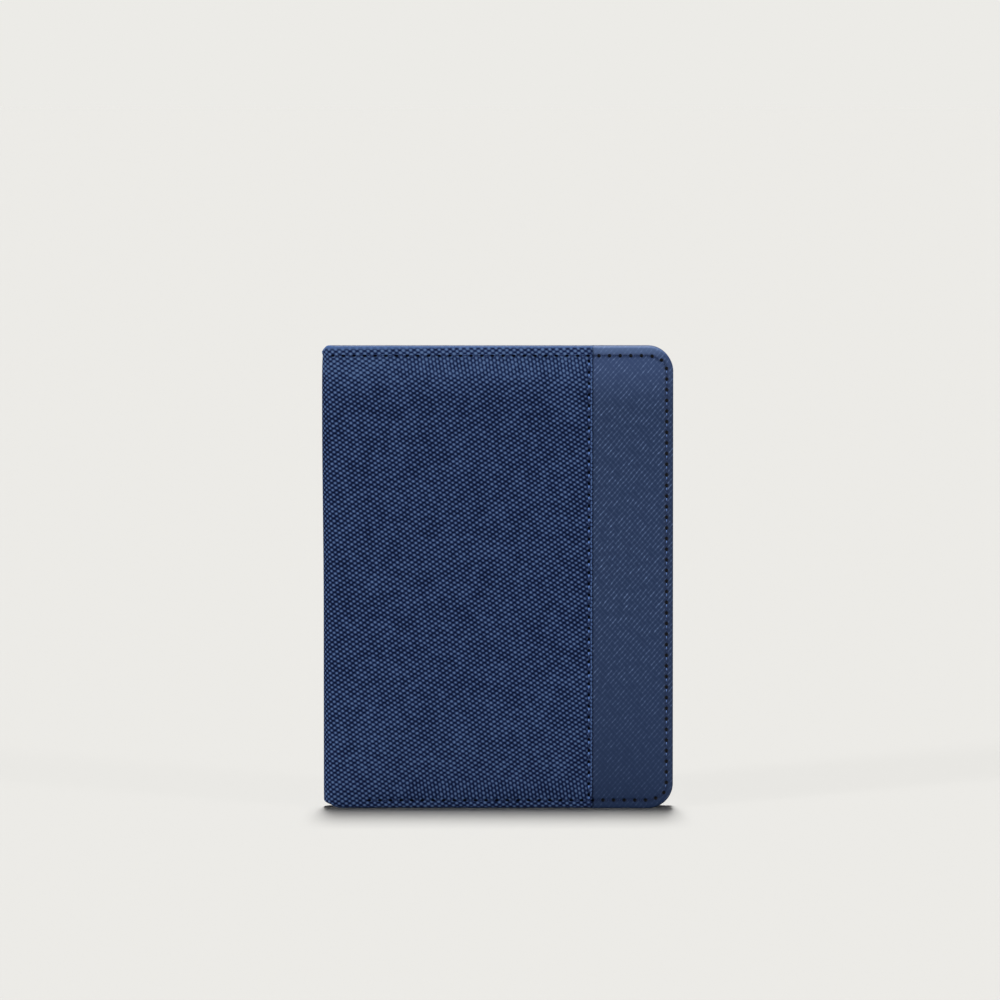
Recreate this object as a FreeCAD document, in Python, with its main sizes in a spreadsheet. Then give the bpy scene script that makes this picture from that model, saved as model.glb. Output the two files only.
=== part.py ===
import FreeCAD, Part
import math
import os

import Sketcher
from FreeCAD import Placement, Rotation, Vector

# A book-style passport holder, closed and standing on its bottom edge.
# X runs from the spine (-) to the opening edge (+), Y from the front cover (-) to the back cover (+), Z is up.
# The origin is the centre of the closed holder's footprint, on the surface that it stands on.
# Each cover is a stack of layers. A layer's depth is measured inwards from the outer face of the canvas.

doc = FreeCAD.newDocument("passport_holder")

# ---------------------------------------------------------------------------------------------------------------
# Driving dimensions, in millimetres
# ---------------------------------------------------------------------------------------------------------------
SIZES = [
    # the closed holder
    ("width", 104.6, "spine to opening edge"),
    ("height", 138.0, "bottom edge to top edge"),
    ("corner_radius", 7.5, "outer corners of both covers, at the opening edge"),
    ("bend_radius", 4.2, "outside of the canvas where it turns round the spine"),
    ("passport_gap", 4.85, "room between the two closed covers for a passport's pages"),
    # sheet thicknesses
    ("canvas_thickness", 0.6, "woven canvas"),
    ("leather_thickness", 0.7, "leather of the edge bands, and the padding that lies level with it"),
    ("board_thickness", 0.8, "stiffener board of a cover"),
    ("strip_thickness", 0.8, "stiffener strip of the spine"),
    ("lining_thickness", 0.4, "lining leather"),
    ("sleeve_thickness", 0.4, "leather of a passport sleeve"),
    ("slot_thickness", 0.35, "leather of a card slot"),
    # how the outer skins meet
    ("band_width", 24.0, "leather showing beside the canvas"),
    ("band_lap", 8.0, "leather tucked under the canvas"),
    ("canvas_setback", 0.4, "canvas below the rim of the lining, at the top and the bottom"),
    ("edge_round", 0.4, "rounding of the turned edges"),
    ("hinge_relief", 1.0, "boards and foam kept back from the bend"),
    ("fit_clearance", 0.1, "between a stiffener and the turned edge round it"),
    # passport sleeves and card slots
    ("sleeve_gap", 0.3, "room in a sleeve for a passport's cover"),
    ("sleeve_margin", 4.5, "sewn margin of a sleeve"),
    ("sleeve_setback", 0.3, "sleeve back from the rim of the lining"),
    ("front_sleeve_width", 80.0, "sleeve inside the front cover"),
    ("back_sleeve_width", 62.0, "sleeve inside the back cover"),
    ("slot_tall", 92.0, "opening of a card slot, for an 85.6 mm card, with its sewn ends"),
    ("slot_widest", 72.0, "first card slot, spine side to its sewn side"),
    ("slot_step", 12.0, "each slot stands back this far from the one behind it"),
    ("slot_setback", 4.0, "card slots back from the opening edge"),
    # sewing
    ("stitch_pitch", 3.18, "8 stitches to the inch"),
    ("stitch_length", 2.3, "thread showing between two holes"),
    ("thread_width", 0.55, ""),
    ("thread_height", 0.25, "thread above the surface it lies on"),
    ("groove_width", 0.9, "groove that the thread draws into the canvas"),
    ("groove_depth", 0.3, ""),
    ("stitch_inset", 2.7, "stitch line from the top and bottom edges"),
    ("side_stitch_inset", 1.9, "stitch line from the opening edge"),
    ("seam_stitch_inset", 1.1, "stitch line from the canvas's turned edge"),
    ("slot_stitch_inset", 1.5, "stitch line from the ends of the card slots"),
    ("bottom_stitch_start", 14.0, "the bottom row starts this far from the spine"),
]

sheet = doc.addObject("Spreadsheet::Sheet", "Sizes")
for row, (alias, number, note) in enumerate(SIZES, start=1):
    sheet.set(f"A{row}", alias)
    sheet.set(f"B{row}", str(number))
    sheet.setAlias(f"B{row}", alias)
    sheet.set(f"C{row}", note)
doc.recompute()


def size(text):
    """The value of an expression of the sheet's aliases, each written as Sizes.alias."""
    return float(sheet.evalExpression(text))


# Places worked out from the driving dimensions. Each is an expression that a sketch or feature can be bound to.
SPINE_X = "(-Sizes.width / 2)"
EDGE_X = "(Sizes.width / 2)"
BEND_X = f"({SPINE_X} + Sizes.bend_radius)"
SEAM_X = f"({EDGE_X} - Sizes.band_width)"
FOAM_DEPTH = "(Sizes.canvas_thickness)"
BOARD_DEPTH = "(Sizes.canvas_thickness + Sizes.leather_thickness)"
LINING_DEPTH = f"({BOARD_DEPTH} + Sizes.board_thickness)"
SLEEVE_DEPTH = f"({LINING_DEPTH} + Sizes.lining_thickness)"
SLEEVE_FACE = "(Sizes.sleeve_gap + Sizes.sleeve_thickness)"
SLOT_DEPTH = f"({SLEEVE_DEPTH} + {SLEEVE_FACE})"
SLOT_COUNT = 3
FRONT_STACK = f"({SLOT_DEPTH} + {SLOT_COUNT} * Sizes.slot_thickness)"
THICKNESS = f"({FRONT_STACK} + Sizes.passport_gap + {SLOT_DEPTH})"
CANVAS_LOW = "(Sizes.canvas_setback)"
CANVAS_HIGH = "(Sizes.height - Sizes.canvas_setback)"
CORE_LOW = (
    "(max(Sizes.canvas_setback + Sizes.canvas_thickness; Sizes.leather_thickness) + Sizes.fit_clearance)"
)
CORE_HIGH = f"(Sizes.height - {CORE_LOW})"
CORE_EDGE_X = f"({EDGE_X} - Sizes.leather_thickness - Sizes.fit_clearance)"
CORE_SPINE_X = f"({BEND_X} + Sizes.hinge_relief)"

FRONT, BACK = -1, 1
MADE = []


# ---------------------------------------------------------------------------------------------------------------
# Helpers
# ---------------------------------------------------------------------------------------------------------------
def new_body(label, side):
    """An empty body. Its own XY plane is the outer face of the cover at that side, its own Y is up.

    Its own +Z points towards the front, so the front cover's layers lie below its plane and the back's above."""
    body = doc.addObject("PartDesign::Body", label)
    body.Label = label
    MADE.append(body)
    if side:
        body.Placement = Placement(Vector(0, 0, 0), Rotation(Vector(1, 0, 0), 90))
        body.setExpression("Placement.Base.y", f"{side} * {THICKNESS} / 2")
    return body


def new_sketch(body, name, level):
    """A sketch parallel to the body's XY plane, at the height level above it."""
    sketch = body.newObject("Sketcher::SketchObject", name)
    plane = next(o for o in body.Origin.OriginFeatures if o.Role == "XY_Plane")
    sketch.AttachmentSupport = [(plane, "")]
    sketch.MapMode = "FlatFace"
    sketch.setExpression("AttachmentOffset.Base.z", level)
    return sketch


def draw_rectangle(sketch, x0, x1, y0, y1):
    """A rectangle with its four sides bound to expressions."""
    left, right, low, high = (size(e) for e in (x0, x1, y0, y1))
    corners = [Vector(left, low, 0), Vector(right, low, 0), Vector(right, high, 0), Vector(left, high, 0)]
    first = sketch.GeometryCount
    for start, end in zip(corners, corners[1:] + corners[:1]):
        sketch.addGeometry(Part.LineSegment(start, end), False)
    bottom, side_right, top, side_left = range(first, first + 4)
    for one, other in ((bottom, side_right), (side_right, top), (top, side_left), (side_left, bottom)):
        sketch.addConstraint(Sketcher.Constraint("Coincident", one, 2, other, 1))
    for line in (bottom, top):
        sketch.addConstraint(Sketcher.Constraint("Horizontal", line))
    for line in (side_left, side_right):
        sketch.addConstraint(Sketcher.Constraint("Vertical", line))
    bound = (
        ("DistanceX", bottom, left, x0),
        ("DistanceX", side_right, right, x1),
        ("DistanceY", bottom, low, y0),
        ("DistanceY", top, high, y1),
    )
    for kind, line, number, expression in bound:
        index = sketch.addConstraint(Sketcher.Constraint(kind, -1, 1, line, 1, number))
        sketch.setExpression(f"Constraints[{index}]", expression)


def pad(body, name, low, thickness, x0, x1, y0, y1):
    """Adds a rectangular slab from the level low upwards."""
    sketch = new_sketch(body, name + "_outline", low)
    draw_rectangle(sketch, x0, x1, y0, y1)
    feature = body.newObject("PartDesign::Pad", name)
    feature.Profile = sketch
    feature.setExpression("Length", thickness)
    doc.recompute()
    return feature


def pocket(body, name, level, depth, upwards, x0, x1, y0, y1):
    """Cuts a rectangular recess of that depth from the level, and makes sure that it removed material."""
    before = body.Shape.Volume
    sketch = new_sketch(body, name + "_outline", level)
    draw_rectangle(sketch, x0, x1, y0, y1)
    feature = body.newObject("PartDesign::Pocket", name)
    feature.Profile = sketch
    feature.setExpression("Length", depth)
    feature.Reversed = upwards
    doc.recompute()
    if body.Shape.Volume >= before:
        raise RuntimeError(f"{name} cut nothing")
    return feature


def fillet(body, name, radius, chosen):
    """Rounds every edge that chosen says is one to round."""
    base = body.Tip
    names = [f"Edge{n}" for n, edge in enumerate(base.Shape.Edges, start=1) if chosen(edge)]
    if not names:
        raise RuntimeError(f"{name} found no edge")
    feature = body.newObject("PartDesign::Fillet", name)
    feature.Base = (base, names)
    feature.setExpression("Radius", radius)
    doc.recompute()
    return feature


def upright_edges(*points):
    """Chooses the edges along the body's Z that pass through one of the points (x, y), each a pair of expressions."""
    places = [(size(x), size(y)) for x, y in points]

    def chosen(edge):
        ends = [vertex.Point for vertex in edge.Vertexes]
        return any(all(math.hypot(end.x - x, end.y - y) < 1e-3 for end in ends) for x, y in places)

    return chosen


def edges_at_level(level, above_x=None, heights=None):
    """Chooses the edges that lie at that level of the body, past above_x or along X at one of the heights."""
    at = size(level)
    limit = -math.inf if above_x is None else size(above_x)
    rows = None if heights is None else [size(y) for y in heights]

    def chosen(edge):
        ends = [vertex.Point for vertex in edge.Vertexes]
        flat = all(abs(end.z - at) < 1e-3 for end in ends)
        past = any(end.x > limit + 1e-3 for end in ends)
        along = rows is None or any(all(abs(end.y - y) < 1e-3 for end in ends) for y in rows)
        return flat and past and along

    return chosen


def layer(side, depth, thickness):
    """The level at which a layer of that depth starts, for a pad that goes upwards."""
    return f"-({depth} + {thickness})" if side == FRONT else f"({depth})"


def sheet_layer(label, side, depth, thickness, x0, x1, y0, y1, corner=None):
    """A flat sheet of a cover, with its two corners at the opening edge rounded if corner is a radius."""
    body = new_body(label, side)
    pad(body, label + "_sheet", layer(side, depth, thickness), thickness, x0, x1, y0, y1)
    if corner:
        fillet(body, label + "_corners", corner, upright_edges((x1, y0), (x1, y1)))
    return body


# ---------------------------------------------------------------------------------------------------------------
# Covers
# ---------------------------------------------------------------------------------------------------------------
def canvas(label, side, groove_starts):
    """Woven canvas of one cover. Its top and bottom edges are turned over the board; grooves take the thread."""
    body = new_body(label, side)
    outer = layer(side, "0", LINING_DEPTH)
    pad(body, label + "_sheet", outer, LINING_DEPTH, BEND_X, SEAM_X, CANVAS_LOW, CANVAS_HIGH)
    inside_low = "(Sizes.canvas_setback + Sizes.canvas_thickness)"
    pocket(
        body,
        label + "_turned_edges",
        f"{side} * Sizes.canvas_thickness",
        f"({LINING_DEPTH} - Sizes.canvas_thickness)",
        side == BACK,
        BEND_X,
        SEAM_X,
        inside_low,
        f"(Sizes.height - {inside_low})",
    )
    fillet(body, label + "_round", "Sizes.edge_round", edges_at_level("0", heights=(CANVAS_LOW, CANVAS_HIGH)))
    half = "Sizes.groove_width / 2"
    low_start, high_start = groove_starts
    rows = (
        ("bottom", low_start, SEAM_X, "Sizes.stitch_inset", "Sizes.stitch_inset"),
        ("top", high_start, SEAM_X, "Sizes.height - Sizes.stitch_inset", "Sizes.height - Sizes.stitch_inset"),
    )
    for row_name, x0, x1, y0, y1 in rows:
        name = f"{label}_{row_name}_groove"
        pocket(body, name, "0", "Sizes.groove_depth", side == BACK, x0, x1, f"{y0} - {half}", f"{y1} + {half}")
    seam = f"({SEAM_X} - Sizes.seam_stitch_inset)"
    pocket(
        body,
        label + "_seam_groove",
        "0",
        "Sizes.groove_depth",
        side == BACK,
        f"{seam} - {half}",
        f"{seam} + {half}",
        f"{CANVAS_LOW} + Sizes.edge_round",
        f"{CANVAS_HIGH} - Sizes.edge_round",
    )
    return body


def leather_band(label, side):
    """Leather band along the opening edge, turned over the board on three sides, with a lap under the canvas."""
    body = new_body(label, side)
    start = f"({SEAM_X} + Sizes.fit_clearance)"
    depth = f"({LINING_DEPTH} - Sizes.canvas_thickness)"
    pad(
        body,
        label + "_sheet",
        layer(side, "Sizes.canvas_thickness", depth),
        depth,
        start,
        EDGE_X,
        "0",
        "Sizes.height",
    )
    inner_x = f"({EDGE_X} - Sizes.leather_thickness)"
    inner_low, inner_high = "Sizes.leather_thickness", "(Sizes.height - Sizes.leather_thickness)"
    pocket(
        body,
        label + "_turned_edges",
        f"{side} * (Sizes.canvas_thickness + Sizes.leather_thickness)",
        f"({depth} - Sizes.leather_thickness)",
        side == BACK,
        start,
        inner_x,
        inner_low,
        inner_high,
    )
    fillet(
        body,
        label + "_inner_corners",
        "Sizes.corner_radius - Sizes.leather_thickness",
        upright_edges((inner_x, inner_low), (inner_x, inner_high)),
    )
    fillet(body, label + "_corners", "Sizes.corner_radius", upright_edges((EDGE_X, "0"), (EDGE_X, "Sizes.height")))
    outer_level = f"{side} * Sizes.canvas_thickness"
    fillet(body, label + "_round", "Sizes.edge_round", edges_at_level(outer_level, above_x=start))
    pad(
        body,
        label + "_lap",
        layer(side, "Sizes.canvas_thickness", "Sizes.leather_thickness"),
        "Sizes.leather_thickness",
        f"({SEAM_X} - Sizes.band_lap)",
        f"({start} + Sizes.fit_clearance)",
        CORE_LOW,
        CORE_HIGH,
    )
    return body


def sleeve(label, side, sleeve_width):
    """Passport sleeve, sewn along three sides and open towards the spine."""
    x1 = f"({EDGE_X} - Sizes.sleeve_setback)"
    depth = f"({SLEEVE_DEPTH} + Sizes.sleeve_gap)"
    corner = "Sizes.corner_radius - Sizes.sleeve_setback"
    sheet_layer(
        label,
        side,
        depth,
        "Sizes.sleeve_thickness",
        f"({EDGE_X} - {sleeve_width})",
        x1,
        "Sizes.sleeve_setback",
        "(Sizes.height - Sizes.sleeve_setback)",
        corner=corner,
    )


def sleeve_hem(label, side, sleeve_width):
    """Edges of the sleeve, turned under along its three sewn sides and cut away at the corners.

    They hold the sleeve's face off the lining, which leaves room for a passport's cover."""
    x0, x1 = f"({EDGE_X} - {sleeve_width})", f"({EDGE_X} - Sizes.sleeve_setback)"
    y0, y1 = "Sizes.sleeve_setback", "(Sizes.height - Sizes.sleeve_setback)"
    low_end, high_start = f"({y0} + Sizes.sleeve_margin)", f"({y1} - Sizes.sleeve_margin)"
    corner_x = f"({EDGE_X} - Sizes.corner_radius)"
    corner_low = f"max(Sizes.corner_radius; {low_end})"
    corner_high = f"min(Sizes.height - Sizes.corner_radius; {high_start})"
    strips = (
        ("low", x0, corner_x, y0, low_end),
        ("side", f"({x1} - Sizes.sleeve_margin)", x1, corner_low, corner_high),
        ("high", x0, corner_x, high_start, y1),
    )
    body = new_body(label, side)
    for strip_name, left, right, low, high in strips:
        name = f"{label}_{strip_name}"
        pad(body, name, layer(side, SLEEVE_DEPTH, "Sizes.sleeve_gap"), "Sizes.sleeve_gap", left, right, low, high)


def cover(word, side, sleeve_width, groove_starts):
    """The layers of one cover, from the outside in."""
    canvas(word + "_canvas", side, groove_starts)
    leather_band(word + "_leather_band", side)
    foam_end = f"({SEAM_X} - Sizes.band_lap - Sizes.fit_clearance)"
    sheet_layer(
        word + "_foam", side, FOAM_DEPTH, "Sizes.leather_thickness", CORE_SPINE_X, foam_end, CORE_LOW, CORE_HIGH
    )
    sheet_layer(
        word + "_board",
        side,
        BOARD_DEPTH,
        "Sizes.board_thickness",
        CORE_SPINE_X,
        CORE_EDGE_X,
        CORE_LOW,
        CORE_HIGH,
        corner="Sizes.corner_radius - Sizes.leather_thickness - Sizes.fit_clearance",
    )
    sheet_layer(
        word + "_lining",
        side,
        LINING_DEPTH,
        "Sizes.lining_thickness",
        BEND_X,
        EDGE_X,
        "0",
        "Sizes.height",
        corner="Sizes.corner_radius",
    )
    sleeve_hem(word + "_sleeve_hem", side, sleeve_width)
    sleeve(word + "_passport_sleeve", side, sleeve_width)


def card_slot(label, place):
    """One card slot on the front sleeve. place counts from the sleeve outwards; each slot is a step narrower."""
    x1 = f"({EDGE_X} - Sizes.slot_setback)"
    x0 = f"({x1} - Sizes.slot_widest + {place} * Sizes.slot_step)"
    depth = f"({SLOT_DEPTH} + {place} * Sizes.slot_thickness)"
    low, high = "(Sizes.height / 2 - Sizes.slot_tall / 2)", "(Sizes.height / 2 + Sizes.slot_tall / 2)"
    sheet_layer(label, FRONT, depth, "Sizes.slot_thickness", x0, x1, low, high)


# ---------------------------------------------------------------------------------------------------------------
# Spine
# ---------------------------------------------------------------------------------------------------------------
def wrap(label, depth, thickness, low, high):
    """A sheet that turns from one cover round the spine to the other, at that depth below the canvas's face.

    It is made with longer ends, so that its corners can be rounded, and is then trimmed where the covers start."""
    body = new_body(label, None)
    x0, y0, y1 = f"({SPINE_X} + {depth})", f"({depth} - {THICKNESS} / 2)", f"({THICKNESS} / 2 - {depth})"
    long_x, tall = f"({BEND_X} + Sizes.bend_radius)", f"({high} - {low})"
    pad(body, label + "_block", low, tall, x0, long_x, y0, y1)
    inner_x, inner_y0, inner_y1 = f"({x0} + {thickness})", f"({y0} + {thickness})", f"({y1} - {thickness})"
    pocket(body, label + "_hollow", low, tall, True, inner_x, long_x, inner_y0, inner_y1)
    corners = upright_edges((inner_x, inner_y0), (inner_x, inner_y1))
    fillet(body, label + "_inside", f"Sizes.bend_radius - {depth} - {thickness}", corners)
    fillet(body, label + "_outside", f"Sizes.bend_radius - {depth}", upright_edges((x0, y0), (x0, y1)))
    pocket(body, label + "_trim", low, tall, True, BEND_X, long_x, y0, y1)


def spine_strip():
    """Stiffener strip glued to the canvas on the flat of the spine, between the two bends."""
    body = new_body("spine_strip", None)
    x0 = f"({SPINE_X} + Sizes.canvas_thickness)"
    half = f"({THICKNESS} / 2 - Sizes.bend_radius)"
    pad(
        body,
        "spine_strip_sheet",
        CORE_LOW,
        f"({CORE_HIGH} - {CORE_LOW})",
        x0,
        f"({x0} + Sizes.strip_thickness)",
        f"-{half}",
        half,
    )


# ---------------------------------------------------------------------------------------------------------------
# Sewing
# ---------------------------------------------------------------------------------------------------------------
def one_stitch():
    """The thread between two holes: a flat bar with round ends, along X, resting on Z = 0."""
    length, wide, tall = size("Sizes.stitch_length"), size("Sizes.thread_width"), size("Sizes.thread_height")
    half, end = wide / 2, (length - wide) / 2
    sides = [
        Part.LineSegment(Vector(-end, -half, 0), Vector(end, -half, 0)),
        Part.Arc(Vector(end, -half, 0), Vector(end + half, 0, 0), Vector(end, half, 0)),
        Part.LineSegment(Vector(end, half, 0), Vector(-end, half, 0)),
        Part.Arc(Vector(-end, half, 0), Vector(-end - half, 0, 0), Vector(-end, -half, 0)),
    ]
    outline = Part.Wire([side.toShape() for side in sides])
    return Part.Face(outline).extrude(Vector(0, 0, tall))


def row_between(start, end):
    """Centres and directions of stitches along a straight row, a pitch apart, as (x, z, angle)."""
    (x0, z0), (x1, z1) = start, end
    length = math.hypot(x1 - x0, z1 - z0)
    count = max(1, int(length / size("Sizes.stitch_pitch")))
    angle = math.degrees(math.atan2(z1 - z0, x1 - x0))
    shares = [(n + 0.5) / count for n in range(count)]
    return [(x0 + (x1 - x0) * s, z0 + (z1 - z0) * s, angle) for s in shares]


def row_round(centre, radius, first_angle):
    """Centres and directions of stitches round a quarter turn, as (x, z, angle)."""
    count = max(1, round(math.radians(90) * radius / size("Sizes.stitch_pitch")))
    found = []
    for n in range(count):
        angle = first_angle + 90 * (n + 0.5) / count
        x = centre[0] + radius * math.cos(math.radians(angle))
        z = centre[1] + radius * math.sin(math.radians(angle))
        found.append((x, z, angle + 90))
    return found


def perimeter_rows(low_start, high_start):
    """The row that goes along the bottom of a cover, round its two corners and back along the top."""
    low, high = size("Sizes.stitch_inset"), size("Sizes.height - Sizes.stitch_inset")
    side_x = size(f"{EDGE_X} - Sizes.side_stitch_inset")
    radius = size("Sizes.corner_radius - Sizes.stitch_inset")
    turn_x = side_x - radius
    seam_x = size(SEAM_X)
    rows = row_between((low_start, low), (seam_x, low))
    rows += row_between((seam_x, low), (turn_x, low))
    rows += row_round((turn_x, low + radius), radius, -90)
    rows += row_between((side_x, low + radius), (side_x, high - radius))
    rows += row_round((turn_x, high - radius), radius, 0)
    rows += row_between((turn_x, high), (seam_x, high))
    rows += row_between((seam_x, high), (high_start, high))
    return rows


def stitching(label, side, rows, depth_at, inwards=False):
    """A node of separate stitches. depth_at says how deep the face under a stitch at (x, z) lies.

    On the outer faces the thread stands outwards from that face, and with inwards it stands into the holder."""
    half_depth = size(THICKNESS) / 2
    outwards = side if not inwards else -side
    stitch = one_stitch()
    solids = []
    for x, z, angle in rows:
        copy = stitch.copy()
        spin = Rotation(Vector(0, 0, 1), angle)
        lean = Rotation(Vector(1, 0, 0), 90 if outwards < 0 else -90)
        turned = angle if outwards < 0 else -angle
        spin = Rotation(Vector(0, 0, 1), turned)
        y = side * (half_depth - depth_at(x, z))
        copy.Placement = Placement(Vector(x, y, z), lean.multiply(spin))
        solids.append(copy)
    feature = doc.addObject("Part::Feature", label)
    feature.Label = label
    feature.Shape = Part.makeCompound(solids)
    MADE.append(feature)


def outer_depth(x, z):
    """Depth of the face that the outside stitches lie on: the canvas's groove or the leather band."""
    on_canvas = x < size(SEAM_X)
    return size("Sizes.groove_depth") if on_canvas else size("Sizes.canvas_thickness")


def inner_depth_of(sleeve_width):
    """Depth of the face that the inside stitches lie on: the sleeve, or the lining beside it."""
    free_edge = size(f"{EDGE_X} - {sleeve_width}")
    sleeve_face, lining_face = size(SLOT_DEPTH), size(SLEEVE_DEPTH)

    def depth(x, z):
        return sleeve_face if x > free_edge else lining_face

    return depth


def clear_of(rows, edge_x):
    """The rows without a stitch that would straddle a sheet's edge at edge_x."""
    reach = size("Sizes.stitch_length") / 2 + size("Sizes.fit_clearance")
    return [(x, z, angle) for x, z, angle in rows if abs(x - edge_x) > reach]


def sew(word, side, sleeve_width, low_start, high_start):
    """All the stitching of one cover."""
    rows = clear_of(perimeter_rows(low_start, high_start), size(SEAM_X))
    seam_x = size(f"{SEAM_X} - Sizes.seam_stitch_inset")
    keep_off = size("Sizes.stitch_inset + Sizes.groove_width")
    crossing = size("Sizes.groove_width")
    edge_rows = [row for row in rows if abs(row[0] - seam_x) > size("Sizes.stitch_length") / 2 + crossing / 2]
    stitching(word + "_edge_stitching", side, edge_rows, outer_depth)
    seam_rows = row_between((seam_x, keep_off), (seam_x, size("Sizes.height") - keep_off))
    stitching(word + "_seam_stitching", side, seam_rows, outer_depth)
    free_edge = size(f"{EDGE_X} - {sleeve_width}")
    inner_rows = clear_of(perimeter_rows(low_start, high_start), free_edge)
    depth = inner_depth_of(sleeve_width)
    stitching(word + "_inner_stitching", side, inner_rows, depth, inwards=True)


def card_slot_stitching():
    """Rows along both ends of the card slots and down the side away from the spine."""
    x1 = size(f"{EDGE_X} - Sizes.slot_setback")
    inset, step = size("Sizes.slot_stitch_inset"), size("Sizes.slot_step")
    middle, half = size("Sizes.height / 2"), size("Sizes.slot_tall / 2") - inset
    edges = [x1 - size("Sizes.slot_widest") + place * step for place in range(SLOT_COUNT)]
    rows = []
    for z in (middle - half, middle + half):
        ends = edges + [x1 - inset]
        for place in range(SLOT_COUNT):
            rows += row_between((ends[place] + inset / 2, z), (ends[place + 1] - inset / 2, z))
    corner = size("Sizes.thread_width")
    rows += row_between((x1 - inset, middle - half + corner), (x1 - inset, middle + half - corner))

    def depth(x, z):
        places = [place for place, edge in enumerate(edges) if x > edge]
        return size(SLOT_DEPTH) + (max(places) + 1) * size("Sizes.slot_thickness")

    stitching("card_slot_stitching", FRONT, rows, depth, inwards=True)


# ---------------------------------------------------------------------------------------------------------------
# The assembly
# ---------------------------------------------------------------------------------------------------------------
bottom_start = f"({SPINE_X} + Sizes.bottom_stitch_start)"
cover("front", FRONT, "Sizes.front_sleeve_width", (bottom_start, BEND_X))
cover("back", BACK, "Sizes.back_sleeve_width", (bottom_start, BEND_X))
for slot_place, slot_label in enumerate(("card_slot_inner", "card_slot_middle", "card_slot_outer")):
    card_slot(slot_label, slot_place)
wrap("spine_canvas", "0", "Sizes.canvas_thickness", CANVAS_LOW, CANVAS_HIGH)
wrap("spine_lining", LINING_DEPTH, "Sizes.lining_thickness", "0", "Sizes.height")
spine_strip()
for cover_word, cover_side, cover_sleeve in (
    ("front", FRONT, "Sizes.front_sleeve_width"),
    ("back", BACK, "Sizes.back_sleeve_width"),
):
    sew(cover_word, cover_side, cover_sleeve, size(bottom_start), size(BEND_X))
card_slot_stitching()

# ---------------------------------------------------------------------------------------------------------------
# Checks and export
# ---------------------------------------------------------------------------------------------------------------
doc.recompute()
faulty = [o.Label for o in doc.Objects if "Invalid" in o.State or "Error" in o.State]
if faulty:
    raise RuntimeError(f"these failed to recompute: {faulty}")
for piece in MADE:
    if piece.Shape.isNull() or not piece.Shape.isValid() or not piece.Shape.Solids:
        raise RuntimeError(f"{piece.Label} has no valid solid")

os.makedirs("parts", exist_ok=True)
for piece in MADE:
    piece.Shape.exportStep(os.path.join("parts", piece.Label + ".step"))

closed = Part.makeCompound([piece.Shape for piece in MADE]).BoundBox
print(f"{len(MADE)} nodes, {closed.XLength:.2f} x {closed.YLength:.2f} x {closed.ZLength:.2f} mm")
print(f"thickness {size(THICKNESS):.3f}, front stack {size(FRONT_STACK):.3f}, back stack {size(SLOT_DEPTH):.3f}")
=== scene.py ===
import math

import bpy
import numpy as np
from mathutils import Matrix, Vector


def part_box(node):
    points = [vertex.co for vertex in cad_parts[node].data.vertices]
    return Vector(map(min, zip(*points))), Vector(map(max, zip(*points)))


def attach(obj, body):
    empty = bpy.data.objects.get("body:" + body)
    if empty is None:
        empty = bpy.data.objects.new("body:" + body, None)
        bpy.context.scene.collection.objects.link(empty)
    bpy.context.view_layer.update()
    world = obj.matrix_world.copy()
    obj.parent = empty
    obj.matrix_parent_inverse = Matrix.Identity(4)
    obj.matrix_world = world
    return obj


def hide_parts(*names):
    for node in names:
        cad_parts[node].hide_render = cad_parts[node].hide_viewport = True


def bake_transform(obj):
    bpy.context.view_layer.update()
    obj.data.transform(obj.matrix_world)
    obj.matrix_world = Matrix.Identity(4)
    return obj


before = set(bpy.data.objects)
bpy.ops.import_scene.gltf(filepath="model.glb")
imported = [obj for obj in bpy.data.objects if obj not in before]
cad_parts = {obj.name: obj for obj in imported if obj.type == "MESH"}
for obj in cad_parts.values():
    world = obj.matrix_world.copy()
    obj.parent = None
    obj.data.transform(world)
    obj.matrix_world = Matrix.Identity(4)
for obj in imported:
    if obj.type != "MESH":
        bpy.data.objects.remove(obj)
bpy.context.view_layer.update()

# --------------------------------------------------------------------------------------------------------
# Stiffeners
# Greyboard panels glued inside each cover, and a narrower strip in the spine, all sealed between the skins.
# The panels' shapes are right as they are, so only the finish is added.
# --------------------------------------------------------------------------------------------------------
def box_mm(node):
    """A node's lowest and highest corners, in millimetres."""
    low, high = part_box(node)
    return np.array(low) * 1000, np.array(high) * 1000


def linear(colour):
    """sRGB hex to the linear RGBA that a socket takes."""
    parts = [int(colour[i : i + 2], 16) / 255 for i in (1, 3, 5)]
    return tuple(c / 12.92 if c <= 0.04045 else ((c + 0.055) / 1.055) ** 2.4 for c in parts) + (1.0,)


def new_material(name):
    """A material with an empty node tree but for its output and its Principled shader."""
    material = bpy.data.materials.new(name)
    material.use_nodes = True
    tree = material.node_tree
    tree.nodes.clear()
    output = tree.nodes.new("ShaderNodeOutputMaterial")
    shader = tree.nodes.new("ShaderNodeBsdfPrincipled")
    tree.links.new(shader.outputs["BSDF"], output.inputs["Surface"])
    return material, tree, shader


def add(tree, kind, settings=None, **links):
    """Adds a node. settings are its own properties; each link is a socket, or a value for that input.

    An input is named by its label with _ for a space, or in0, in1 and so on by its place."""
    node = tree.nodes.new("ShaderNode" + kind)
    for key, value in (settings or {}).items():
        setattr(node, key, value)
    for key, value in links.items():
        place = int(key[2:]) if key[:2] == "in" and key[2:].isdigit() else key.replace("_", " ")
        socket = node.inputs[place]
        if isinstance(value, bpy.types.NodeSocket):
            tree.links.new(value, socket)
        else:
            socket.default_value = value
    return node


def two_tones(tree, share, first, second):
    """The first colour where share is 0 and the second where it is 1. Each is sRGB hex or a socket."""
    ends = [linear(tone) if isinstance(tone, str) else tone for tone in (first, second)]
    return add(tree, "Mix", {"data_type": "RGBA"}, in0=share, in6=ends[0], in7=ends[1]).outputs[2]


def in_scene(name, data):
    """An object of that name for a mesh, a lamp or a camera."""
    item = bpy.data.objects.new(name, data)
    bpy.context.scene.collection.objects.link(item)
    return item


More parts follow.
